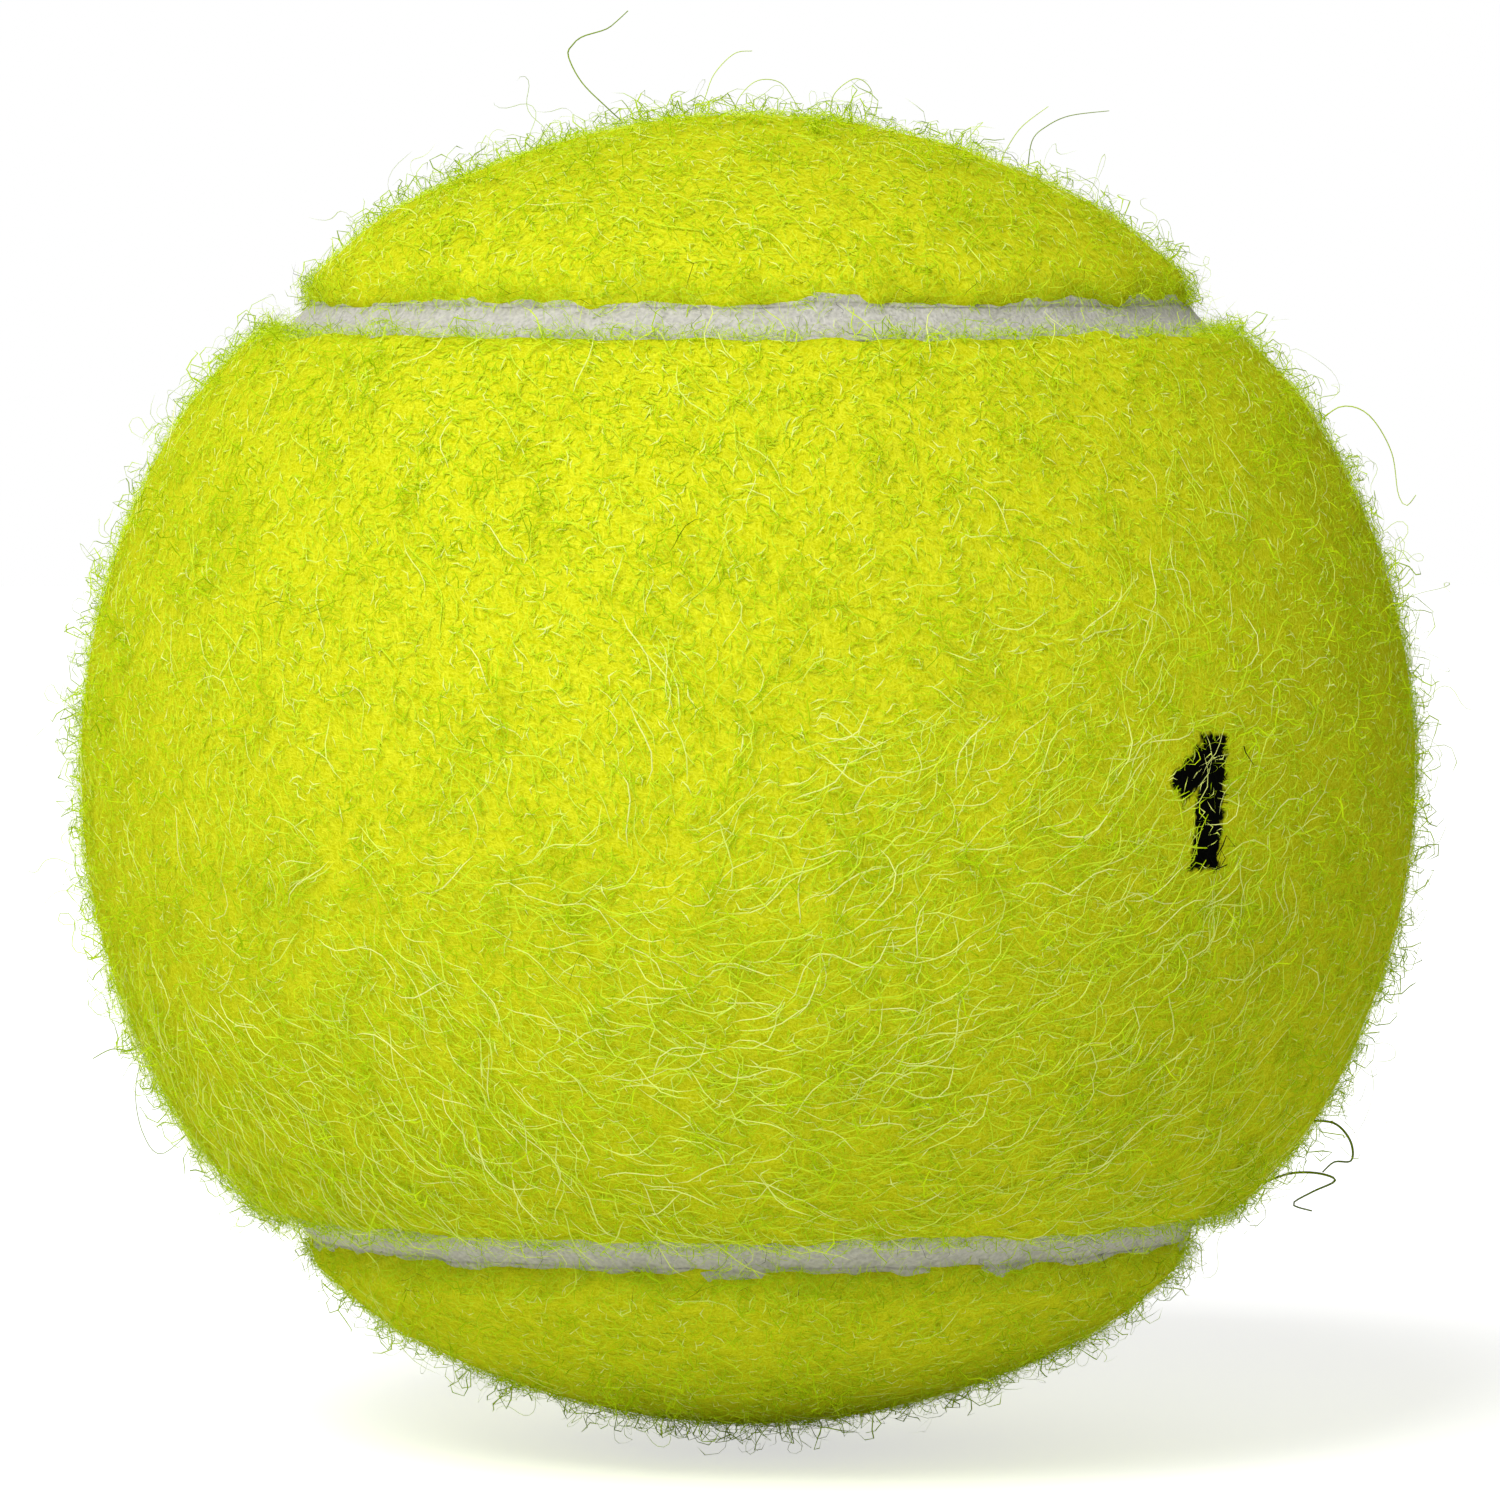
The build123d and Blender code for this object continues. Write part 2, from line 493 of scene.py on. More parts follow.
# %% Surface tree
def new_tree(name, others, numbers):
    """A geometry tree whose inputs are a geometry, a finish, others by kind, and numbers."""
    tree = bpy.data.node_groups.new(name, "GeometryNodeTree")
    tree.interface.new_socket("Geometry", in_out="OUTPUT", socket_type="NodeSocketGeometry")
    inputs = {"Geometry": "Geometry", "Finish": "Material"} | others | dict.fromkeys(numbers, "Float")
    for label, kind in inputs.items():
        tree.interface.new_socket(label, in_out="INPUT", socket_type=f"NodeSocket{kind}")
    return tree, tree.nodes.new("NodeGroupInput").outputs


def end_tree(tree, shape, given):
    """Ends a tree: makes instances real, sets the finish given and puts the result out."""
    real = add_node(tree, "GeometryNodeRealizeInstances", {"Geometry": shape})
    finished = add_node(
        tree, "GeometryNodeSetMaterial", {"Geometry": real, "Material": given["Finish"]}
    )
    add_node(tree, "NodeGroupOutput", finished)
    print(f"tree {tree.name}: {len(tree.nodes)} nodes")


def noise_height(add, place, size, height):
    """Noise of a size, as a height that goes as far down as up."""
    fineness = add("ShaderNodeMath", 1.0, size, operation="DIVIDE")
    cells = add("ShaderNodeTexNoise", {"Vector": place, "Scale": fineness, "Detail": 3.0})
    swing = add("ShaderNodeMath", cells, 2.0, -1.0, operation="MULTIPLY_ADD")
    return add("ShaderNodeMath", swing, height, operation="MULTIPLY")


fray_size = 2.4 * mm
surface_tree, given = new_tree(
    "roughen",
    {"Seam": "Object"},
    ("Clump Size", "Clump Height", "Seam Dip", "Pole Press", "Edge Waver"),
)
add = partial(add_node, surface_tree)
place = add("GeometryNodeInputPosition")
outward = add("ShaderNodeVectorMath", place, operation="NORMALIZE")
normal = add("GeometryNodeInputNormal")
facing_out = add("ShaderNodeVectorMath", normal, outward, operation="DOT_PRODUCT")
outer_face = add("ShaderNodeMapRange", {"Value": facing_out, "From Min": 0.1, "From Max": 0.7})
strip_mesh = add("GeometryNodeObjectInfo", {"Object": given["Seam"]})
seam_distance = add(
    "GeometryNodeProximity",
    {"Geometry": strip_mesh.outputs["Geometry"], "Sample Position": place},
    target_element="FACES",
).outputs["Distance"]

clear_of_seam = add(
    "ShaderNodeMapRange", {"Value": seam_distance, "From Min": 0.9 * mm, "From Max": 2.2 * mm}
)
clump = noise_height(add, place, given["Clump Size"], given["Clump Height"])
clump_rise = add("ShaderNodeMath", clump, clear_of_seam, operation="MULTIPLY")
near_seam = add(
    "ShaderNodeMapRange",
    {"Value": seam_distance, "From Min": 6.5 * mm, "From Max": 1.5 * mm},
    interpolation_type="SMOOTHSTEP",
)
dip = add("ShaderNodeMath", near_seam, given["Seam Dip"], operation="MULTIPLY")
height = add("ShaderNodeSeparateXYZ", outward).outputs["Z"]
off_equator = add("ShaderNodeMath", height, operation="ABSOLUTE")
near_pole = add(
    "ShaderNodeMapRange",
    {"Value": off_equator, "From Min": 0.72, "From Max": 0.98},
    interpolation_type="SMOOTHSTEP",
)
sunk = add("ShaderNodeMath", near_pole, given["Pole Press"], dip, operation="MULTIPLY_ADD")
relief = add("ShaderNodeMath", clump_rise, sunk, operation="SUBTRACT")
rise = add("ShaderNodeMath", relief, outer_face, operation="MULTIPLY")
raised = add("ShaderNodeVectorMath", outward, {"Scale": rise}, operation="SCALE")

fray = add("ShaderNodeTexNoise", {"Vector": place, "Scale": 1 / fray_size, "Detail": 3.0})
any_way = add("ShaderNodeVectorMath", fray.outputs["Color"], (0.5, 0.5, 0.5), operation="SUBTRACT")
edge = add(
    "ShaderNodeMapRange",
    {"Value": seam_distance, "From Min": 3.0 * mm, "From Max": 0.3 * mm, "To Max": 4.0},
    interpolation_type="SMOOTHSTEP",
)
from_centre = add("ShaderNodeVectorMath", place, operation="LENGTH")
not_buried = add(
    "ShaderNodeMapRange",
    {"Value": from_centre, "From Min": ball_radius - 2.6 * mm, "From Max": ball_radius - 1.6 * mm},
)
open_edge = add("ShaderNodeMath", edge, not_buried, operation="MULTIPLY")
waver = add("ShaderNodeMath", open_edge, given["Edge Waver"], operation="MULTIPLY")
wander = add("ShaderNodeVectorMath", any_way, {"Scale": waver}, operation="SCALE")
offset = add("ShaderNodeVectorMath", raised, wander, operation="ADD")
moved = add("GeometryNodeSetPosition", {"Geometry": given["Geometry"], "Offset": offset})
smooth = add("GeometryNodeSetShadeSmooth", moved)
end_tree(surface_tree, smooth, given)

# %% Dress the panels
def run_tree(piece, tree, values):
    """Adds the tree to a piece, with its inputs set by identifier."""
    modifier = piece.modifiers.new(tree.name, "NODES")
    modifier.node_group = tree
    for item in tree.interface.items_tree:
        if item.in_out == "INPUT" and item.name in values:
            modifier[item.identifier] = values[item.name]


def settled(piece, name, spares=()):
    """Replaces a piece by the mesh that its modifiers make, less its spare attributes."""
    depsgraph = bpy.context.evaluated_depsgraph_get()
    mesh = bpy.data.meshes.new_from_object(piece.evaluated_get(depsgraph))
    mesh.name = name
    bpy.data.objects.remove(piece)
    for spare in spares:
        mesh.attributes.remove(mesh.attributes[spare])
    return show(name, mesh)


def dressed(name, node):
    """A felt piece made from a copy of a node's mesh: merged, remeshed and roughened."""
    mesh = frame["nodes"][node].data.copy()
    weld = bmesh.new()
    weld.from_mesh(mesh)
    bmesh.ops.remove_doubles(weld, verts=weld.verts, dist=0.001 * mm)
    weld.to_mesh(mesh)
    weld.free()
    rough = show(name + "_rough", mesh)
    remesh = rough.modifiers.new("even faces", "REMESH")
    remesh.mode = "VOXEL"
    remesh.voxel_size = felt_voxel
    run_tree(rough, surface_tree, felt_look)
    piece = settled(rough, name)
    print(f"{name}: {len(piece.data.polygons)} faces")
    return piece


felt_voxel = 0.68 * mm
felt_look = {
    "Clump Size": 2.2 * mm,
    "Clump Height": 0.16 * mm,
    "Seam Dip": 0.42 * mm,
    "Pole Press": 0.65 * mm,
    "Edge Waver": 0.34 * mm,
    "Seam": frame["nodes"]["seam_strip"],
    "Finish": felt,
}
front_felt = dressed("front_felt", "felt_panel_front")
back_felt = dressed("back_felt", "felt_panel_back")

# %% [markdown]
# ## The seam
#
# The paste swelled up between the panels when the ball was cured, so it stands higher in
# the groove than the strip it began as, and it wets the felt on both sides. So the strip
# is swept along the seam line with a cross-section that fills the groove, climbs the
# rolled edges a little and dives into the felt there, so that its border wanders and has
# no lip. The line is four circular arcs, each around one lobe of a panel, as in the solids.

# %% Seam line
waist_width = 46.4 * mm
waist_angle = math.asin(waist_width / (2 * ball_radius))
lobe_lean = math.atan((math.sqrt(0.5) - math.sin(waist_angle)) / math.cos(waist_angle))
lobe_sweep = math.pi + 2 * math.atan(math.sin(lobe_lean))
steps_per_arc = 220


def seam_arc(lobe, start):
    """Points of the unit circle around a lobe, from a start to the end of its arc."""
    lobe = Vector(lobe)
    start = Vector(start).normalized()
    turns = [lobe_sweep * i / steps_per_arc for i in range(steps_per_arc + 1)]
    return [Quaternion(lobe, turn) @ start for turn in turns]


sine, cosine = math.sin(lobe_lean), math.cos(lobe_lean)
upper = seam_arc((0, -sine, cosine), (-1, 0, 1))
right = seam_arc((cosine, sine, 0), (1, 0, -1))[::-1]
lower = seam_arc((0, -sine, -cosine), (1, 0, -1))
left = seam_arc((-cosine, sine, 0), (-1, 0, 1))[::-1]
seam_line = [p * ball_radius for arc in (upper, right, lower, left) for p in arc[:-1]]
seam_length = sum((a - b).length for a, b in zip(seam_line, seam_line[1:] + seam_line[:1]))
print(f"seam line {seam_length / mm:.0f} mm, {len(seam_line)} points")

# %% Seam cross-section
half_gap = 1.1 * mm
roll_radius = 1.5 * mm
strip_depth = 3.3 * mm
film = 0.08 * mm
climb_angles = [math.radians(a) for a in (7, 5, 3.5, 1.5)]
climb_shares = [1.0, 0.8, 0.6, 0.3]
film_offs = [-2.5 * film, 0.5 * film, film, film]


def on_roll(angle, off):
    """A point off a felt edge's rounding, as height and distance from the seam line."""
    reach = roll_radius + off
    return (-roll_radius + reach * math.sin(angle), half_gap + roll_radius - reach * math.cos(angle))


foot = [(-strip_depth, half_gap)]
under_side = [on_roll(a, -5 * film) for a in climb_angles[::-1]]
upper_side = [on_roll(a, off) for a, off in zip(climb_angles, film_offs)]
groove = [(-1.41 * mm, 0.8 * mm), (-1.43 * mm, 0.4 * mm)]
half_section = foot + under_side + upper_side + groove
half_shares = [0.0] + climb_shares[::-1] + climb_shares + [0.2, 0.0]
section = half_section + [(-1.44 * mm, 0)] + [(h, -d) for h, d in half_section[::-1]]
section_shares = half_shares + [0.0] + half_shares[::-1]
print(f"section of {len(section)} points, climbing to {upper_side[0][0] / mm:.2f} mm")

# %% Sweep tree
edge_slope = math.radians(62)
wave_ratio = 4.5
ripple_share = 0.5
lowest_slide = -0.1 * mm
sweep_tree, given = new_tree(
    "sweep", {"Section": "Object"}, ("Lump Size", "Lump Height", "Edge Waver")
)
add = partial(add_node, sweep_tree)
line = add("GeometryNodeMeshToCurve", given["Geometry"])
place = add("GeometryNodeInputPosition")
outward = add("ShaderNodeVectorMath", place, operation="NORMALIZE")
upright = add("GeometryNodeSetCurveNormal", {"Curve": line, "Normal": outward}, mode="FREE")
ahead = add("GeometryNodeInputTangent")
sideways = add("ShaderNodeVectorMath", outward, ahead, operation="CROSS_PRODUCT")
path = add(
    "GeometryNodeStoreNamedAttribute",
    {"Geometry": upright, "Name": "across", "Value": sideways},
    data_type="FLOAT_VECTOR",
)
section_mesh = add("GeometryNodeObjectInfo", {"Object": given["Section"]})
profile = add("GeometryNodeMeshToCurve", section_mesh.outputs["Geometry"])
strip = add("GeometryNodeCurveToMesh", {"Curve": path, "Profile Curve": profile})

share, side, across = [
    add("GeometryNodeInputNamedAttribute", {"Name": name}, data_type=kind)
    for name, kind in (("share", "FLOAT"), ("side", "FLOAT"), ("across", "FLOAT_VECTOR"))
]
long_waves = add("ShaderNodeMath", given["Lump Size"], wave_ratio, operation="MULTIPLY")
broad = noise_height(add, place, long_waves, given["Edge Waver"])
ripple = add("ShaderNodeMath", given["Edge Waver"], ripple_share, operation="MULTIPLY")
fine = noise_height(add, place, given["Lump Size"], ripple)
both = add("ShaderNodeMath", broad, fine, operation="ADD")
mostly_up = add("ShaderNodeMath", both, lowest_slide, operation="MAXIMUM")
slide = add("ShaderNodeMath", mostly_up, share, operation="MULTIPLY")
lean_out = add("ShaderNodeMath", side, math.cos(edge_slope), operation="MULTIPLY")
aside = add("ShaderNodeVectorMath", across, {"Scale": lean_out}, operation="SCALE")
uphill = add(
    "ShaderNodeVectorMath", outward, (math.sin(edge_slope),) * 3, aside, operation="MULTIPLY_ADD"
)
climb = add("ShaderNodeVectorMath", uphill, {"Scale": slide}, operation="SCALE")
lump = noise_height(add, place, given["Lump Size"], given["Lump Height"])
swell = add("ShaderNodeVectorMath", outward, {"Scale": lump}, operation="SCALE")
offset = add("ShaderNodeVectorMath", climb, swell, operation="ADD")
lumpy = add("GeometryNodeSetPosition", {"Geometry": strip, "Offset": offset})
smooth = add("GeometryNodeSetShadeSmooth", lumpy)
end_tree(sweep_tree, smooth, given)

# %% Sweep the seam
def face_outwards(mesh):
    """Turns the faces of closed shells to look outwards."""
    shell = bmesh.new()
    shell.from_mesh(mesh)
    bmesh.ops.recalc_face_normals(shell, faces=shell.faces)
    shell.to_mesh(mesh)
    shell.free()


def closed_line(name, points):
    """A piece that is one closed line of edges."""
    mesh = bpy.data.meshes.new(name)
    count = len(points)
    mesh.from_pydata(points, [(i, (i + 1) % count) for i in range(count)], [])
    return show(name, mesh)


section_piece = closed_line("seam_section", [(h, -d, 0) for h, d in section])
section_sides = [math.copysign(1, d) for h, d in section]
store(section_piece.data, {"share": section_shares, "side": section_sides})
line_piece = closed_line("seam_path", seam_line)
seam_sizes = {"Lump Size": 1.6 * mm, "Lump Height": 0.08 * mm, "Edge Waver": 0.95 * mm}
run_tree(line_piece, sweep_tree, seam_sizes | {"Section": section_piece, "Finish": seam_rubber})
seam = settled(line_piece, "seam_line", ("share", "side", "across"))
bpy.data.objects.remove(section_piece)
face_outwards(seam.data)
heights = [vertex.co.length / mm for vertex in seam.data.vertices]
print(f"seam: {len(seam.data.polygons)} faces, radius {min(heights):.2f} to {max(heights):.2f} mm")

# %% [markdown]
# ## Fibre shapes
#
# No two fibres of the nap are alike, but a few dozen shapes, turned and sized at random,
# can't be told from thousands. Each is a thin strip with a low ridge, like a roof, that
# tapers to a point at both ends and is bent along a wandering line. The flat faces of the
# roof catch light from above, as a bundle of fibres does. Real fibres are about 0.03 mm
# thick, which is under a pixel of the picture, so the short ones are drawn thicker.

# %% Fibre shapes
dice = np.random.default_rng(7)
roof = [(-0.5, -0.1), (0.0, 0.16), (0.5, -0.1)]
end_girth, girth_rise = 0.55, 1.8
arch_rise, arch_sink = 1.35, 0.35


def tube(name, line, thickness):
    """A closed tapered strip along a line, with how far along and around each point is."""
    line = np.asarray(line, float)
    steps = len(line) - 1
    sides = len(roof)
    corners = [line[0]]
    along = [0.0]
    around = [0.5]
    for i in range(1, steps):
        ahead = line[i + 1] - line[i - 1]
        ahead /= np.linalg.norm(ahead)
        side = np.cross(ahead, (0, 0, 1))
        side /= np.linalg.norm(side)
        up = np.cross(side, ahead)
        girth = thickness * min(1.0, end_girth + girth_rise * min(i, steps - i) / steps)
        for k, (aside, above) in enumerate(roof):
            corners.append(line[i] + girth * (aside * side + above * up))
            along.append(i / steps)
            around.append(k / sides)
    corners.append(line[-1])
    along.append(1.0)
    around.append(0.5)
    last = len(corners) - 1
    faces = []
    for k in range(sides):
        after = (k + 1) % sides
        faces.append((0, 1 + after, 1 + k))
        for i in range(steps - 2):
            low = 1 + i * sides
            faces.append((low + k, low + after, low + sides + after, low + sides + k))
        faces.append((last, last - sides + k, last - sides + after))
    mesh = bpy.data.meshes.new(name)
    mesh.from_pydata(corners, [], faces)
    store(mesh, {"along": along, "around": around})
    return mesh


def wandering_line(steps, bend, waves, arch):
    """A line about one unit long that sets out along +X, wanders, rises and comes down."""
    heading = dice.uniform(-0.3, 0.3)
    drift = dice.uniform(-bend, bend)
    phase = dice.uniform(0, 2 * math.pi)
    swing = bend * dice.uniform(0.3, 0.9)
    top = arch * dice.uniform(0.5, 1.0)
    at = np.zeros(2)
    line = []
    for i in range(steps + 1):
        s = i / steps
        line.append((*at, top * (arch_rise * math.sin(math.pi * s) - arch_sink)))
        turn = heading + drift * s + swing * math.sin(phase + 2 * math.pi * waves * s)
        at = at + np.array([math.cos(turn), math.sin(turn)]) / steps
    return line


def fibre_shapes(name, count, steps, bend, waves, arch, thickness):
    """A collection of fibre shapes, each about one unit long."""
    shapes = bpy.data.collections.new(name)
    for i in range(count):
        line = wandering_line(steps, bend, waves, arch)
        mesh = tube(f"{name}_{i}", line, thickness)
        shapes.objects.link(bpy.data.objects.new(mesh.name, mesh))
    scene.collection.children.link(shapes)
    print(f"{name}: {count} shapes of {len(mesh.polygons)} faces")
    return shapes


nap_shapes = fibre_shapes("nap_shape", 32, 2, 1.0, 0.5, 0.14, 0.085)
tangle_shapes = fibre_shapes("tangle_shape", 32, 3, 1.2, 0.6, 0.09, 0.03)
long_shapes = fibre_shapes("long_shape", 32, 5, 0.8, 0.7, 0.05, 0.015)
fringe_shapes = fibre_shapes("fringe_shape", 32, 3, 2.0, 0.8, 0.2, 0.013)
curl_shapes = fibre_shapes("curl_shape", 32, 5, 3.2, 0.9, 0.3, 0.023)
stray_shapes = fibre_shapes("stray_shape", 24, 14, 3.0, 1.1, 0.25, 0.006)

# %% [markdown]
# ## Growing the nap
#
# One geometry tree grows every kind of fibre. It scatters points on the outside of a
# panel, reads a slowly changing direction there so that neighbours lie alike, as brushed
# felt does, and sets a fibre shape on each point, turned, leant and sized at random. In
# the picture the lower right is rougher, down to the lower seam and not quite to the right
# edge, with long combed fibres, so the longer kinds can be sown more thickly there. Loose
# fibres gather in tufts a few millimetres apart.

# %% Fibre tree
def end_fibres(tree, shape, along, row, given):
    """Ends a tree of fibres, with each mapped to its row of the chart of shades."""
    spot = add_node(tree, "ShaderNodeCombineXYZ", {"X": along, "Y": row})
    charted = add_node(
        tree, "GeometryNodeStoreNamedAttribute",
        {"Geometry": shape, "Name": shade_map, "Value": spot},
        data_type="FLOAT2",
        domain="CORNER",
    )
    end_tree(tree, charted, given)


rough_side = (0.28, 0, -0.96)
tuft_size = 2.8 * mm
swirl_size, swirl_strength = 11 * mm, 0.8
fibre_tree, given = new_tree(
    "grow fibres",
    {"Shapes": "Collection", "Seed": "Int"},
    (
        "Per Square Metre", "More Below", "Tufted", "Least Facing", "Most Facing", "Lift",
        "Least Length", "Most Length", "Least Lean", "Most Lean", "Spread", "Roll",
        "Least Shade", "Most Shade", "Inked Up To",
    ),
)
add = partial(add_node, fibre_tree)
place = add("GeometryNodeInputPosition")
outward = add("ShaderNodeVectorMath", place, operation="NORMALIZE")
normal = add("GeometryNodeInputNormal")
facing_out = add("ShaderNodeVectorMath", normal, outward, operation="DOT_PRODUCT")
enough = add("ShaderNodeMath", facing_out, given["Least Facing"], operation="GREATER_THAN")
not_more = add("ShaderNodeMath", facing_out, given["Most Facing"], operation="LESS_THAN")
in_range = add("ShaderNodeMath", enough, not_more, operation="MULTIPLY")
towards_rough = add("ShaderNodeVectorMath", place, rough_side, operation="DOT_PRODUCT")
combed = add(
    "ShaderNodeMapRange",
    {"Value": towards_rough, "From Min": -9 * mm, "From Max": 8 * mm},
    interpolation_type="SMOOTHSTEP",
)
xyz = add("ShaderNodeSeparateXYZ", place).outputs
above_lower_cap = add(
    "ShaderNodeMapRange", {"Value": xyz["Z"], "From Min": -25 * mm, "From Max": -22 * mm}
)
short_of_right = add(
    "ShaderNodeMapRange", {"Value": xyz["X"], "From Min": 27 * mm, "From Max": 20 * mm}
)
combed_above = add("ShaderNodeMath", combed, above_lower_cap, operation="MULTIPLY")
combed_here = add("ShaderNodeMath", combed_above, short_of_right, operation="MULTIPLY")
thinned = add("ShaderNodeMath", 1.0, given["More Below"], operation="SUBTRACT")
thickness_here = add("ShaderNodeMapRange", {"Value": combed_here, "To Min": thinned})
tufts = add("ShaderNodeTexNoise", {"Vector": place, "Scale": 1 / tuft_size})
tuft_share = add(
    "ShaderNodeMapRange", {"Value": tufts, "From Min": 0.44, "From Max": 0.6, "To Max": 2.6}
)
tufted = add("ShaderNodeMix", given["Tufted"], 1.0, tuft_share)
sown = add("ShaderNodeMath", thickness_here, tufted, operation="MULTIPLY")
density = add("ShaderNodeMath", given["Per Square Metre"], sown, operation="MULTIPLY")
scattered = add(
    "GeometryNodeDistributePointsOnFaces",
    {"Mesh": given["Geometry"], "Selection": in_range, "Density": density, "Seed": given["Seed"]},
)
up_here = scattered.outputs["Normal"]
shade, lean, length = [
    add(
        "FunctionNodeRandomValue",
        {"Min": given[f"Least {label}"], "Max": given[f"Most {label}"], "Seed": seed},
    )
    for label, seed in (("Shade", 11), ("Lean", 22), ("Length", 24))
]
shaded = add(
    "GeometryNodeStoreNamedAttribute", {"Geometry": scattered, "Name": "shade", "Value": shade}
)
lift = add("FunctionNodeRandomValue", {"Min": 0.0, "Max": given["Lift"], "Seed": 12})
off_mat = add("ShaderNodeVectorMath", up_here, {"Scale": lift}, operation="SCALE")
planted = add("GeometryNodeSetPosition", {"Geometry": shaded, "Offset": off_mat})

swirls = add("ShaderNodeTexNoise", {"Vector": place, "Scale": 1 / swirl_size})
smile_rise = add("ShaderNodeMath", xyz["X"], 0.5 / ball_radius, operation="MULTIPLY")
smile = add("ShaderNodeCombineXYZ", {"X": 0.45, "Y": 0.1, "Z": smile_rise})
brushed = add("ShaderNodeMix", combed, (-0.12, 0.1, 0.4), smile, data_type="VECTOR")
swirl = add(
    "ShaderNodeVectorMath",
    swirls.outputs["Color"],
    (2 * swirl_strength,) * 3,
    (-swirl_strength,) * 3,
    operation="MULTIPLY_ADD",
)
flow = add("ShaderNodeVectorMath", swirl, brushed, operation="ADD")
upright = add(
    "FunctionNodeAxesToRotation",
    {"Primary Axis": up_here, "Secondary Axis": flow},
    primary_axis="Z",
    secondary_axis="X",
)

turns = {}
for axis, most, seed in (("X", "Roll", 21), ("Z", "Spread", 23)):
    least = add("ShaderNodeMath", given[most], -1.0, operation="MULTIPLY")
    turns[axis] = add("FunctionNodeRandomValue", {"Min": least, "Max": given[most], "Seed": seed})
turns["Y"] = add("ShaderNodeMath", lean, -1.0, operation="MULTIPLY")
angles = add("ShaderNodeCombineXYZ", turns)
own_turn = add("FunctionNodeEulerToRotation", angles)
turned = add(
    "FunctionNodeRotateRotation", {"Rotation": upright, "Rotate By": own_turn}, rotation_space="LOCAL"
)
which = add("FunctionNodeRandomValue", {"Min": 0, "Max": 1000, "Seed": 25}, data_type="INT")
shapes = add(
    "GeometryNodeCollectionInfo",
    {"Collection": given["Shapes"], "Separate Children": True, "Reset Children": True},
)
fibres_set = add(
    "GeometryNodeInstanceOnPoints",
    {"Points": planted, "Instance": shapes, "Pick Instance": True, "Instance Index": which,
     "Rotation": turned, "Scale": length},
)
grown = add("GeometryNodeRealizeInstances", {"Geometry": fibres_set})

own_shade, along, around = [
    add("GeometryNodeInputNamedAttribute", {"Name": name})
    for name in ("shade", "along", "around")
]
takes_ink = add("ShaderNodeMath", own_shade, given["Inked Up To"], operation="LESS_THAN")
wet = add("ShaderNodeMath", ink_share(add, place), takes_ink, operation="MULTIPLY")
touched = add("ShaderNodeMath", wet, 0.5, operation="GREATER_THAN")
row = add("ShaderNodeMix", touched, own_shade, ink_row)
row_around = add("ShaderNodeMath", around, row_height, row, operation="MULTIPLY_ADD")
end_fibres(fibre_tree, grown, along, row_around, given)

# %% [markdown]
# ## Kinds of fibre
#
# The nap is a carpet of short fibres, with a few pale ones that are painted glints, a painted
# highlight. Over it lie curled and long combed fibres, a tufted fringe of curls, partly olive
# as painted shade in the tufts, and thin wisps that stand up and show at the outline, and
# some strays. The rolled edges have a coat of their own, with short curls that stand up, and
# fibres and dark hairs that cross the seam. A few olive hairs got in with the wool. Counts
# are for a whole panel, lengths in millimetres and angles in degrees. What a kind doesn't
# say is as usual.

